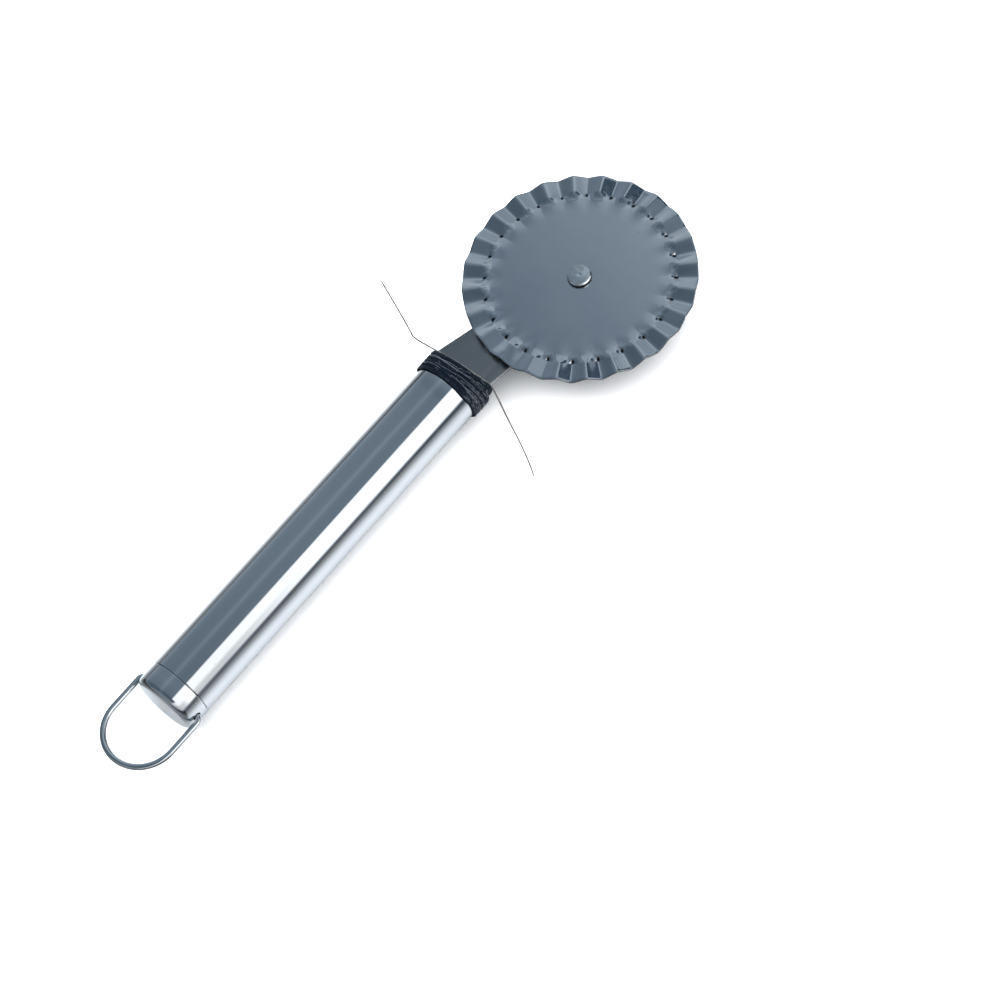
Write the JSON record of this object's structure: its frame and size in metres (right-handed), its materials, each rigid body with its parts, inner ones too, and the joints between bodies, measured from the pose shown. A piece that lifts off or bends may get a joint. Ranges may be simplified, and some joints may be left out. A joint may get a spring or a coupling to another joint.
{
  "type": "pastry cutter wheel",
  "caption": "Fluted steel pastry wheel that spins on a riveted arm, with a polished tube handle, corded neck and hanging loop.",
  "frame": {"origin": "centre of the flat end face of the handle, on the handle's axis", "axes": "+X along the handle towards the wheel, +Z along the wheel's axle towards the rivet's front head, +Y to the left"},
  "size_m": [0.2176, 0.0801, 0.0208],
  "materials": {
    "polished_steel": "mirror-polished stainless steel with fine lengthwise polishing marks",
    "wheel_steel": "bright rolled stainless sheet, near mirror, with faint spots and scratches",
    "arm_steel": "satin rolled sheet steel",
    "black_cord": "matt black twisted cord with loose fibres",
    "wire_steel": "dull annealed steel wire",
    "black_plastic": "moulded matt black plastic"
  },
  "bodies": {
    "handle": {"handle_tube": "polished_steel", "tail_cap": "polished_steel", "neck_core": "black_plastic", "arm_plate": "arm_steel", "cord_winding": "black_cord", "tie_wire": "wire_steel", "axle_rivet": "polished_steel", "spacer_washer": "arm_steel", "rear_washer": "arm_steel"},
    "wheel": {"cutter_wheel": "wheel_steel"},
    "loop": {"hang_loop": "polished_steel"}
  },
  "joints": [
    {"name": "wheel_spin", "type": "hinge", "parent": "handle", "child": "wheel", "pos_m": [0.165, -0.0082, 0.00275], "axis": [0, 0, 1], "continuous": true},
    {"name": "loop_swing", "type": "hinge", "parent": "handle", "child": "loop", "pos_m": [0.0035, 0, 0], "axis": [0, 1, 0], "range_deg": [-145, 145]}
  ]
}
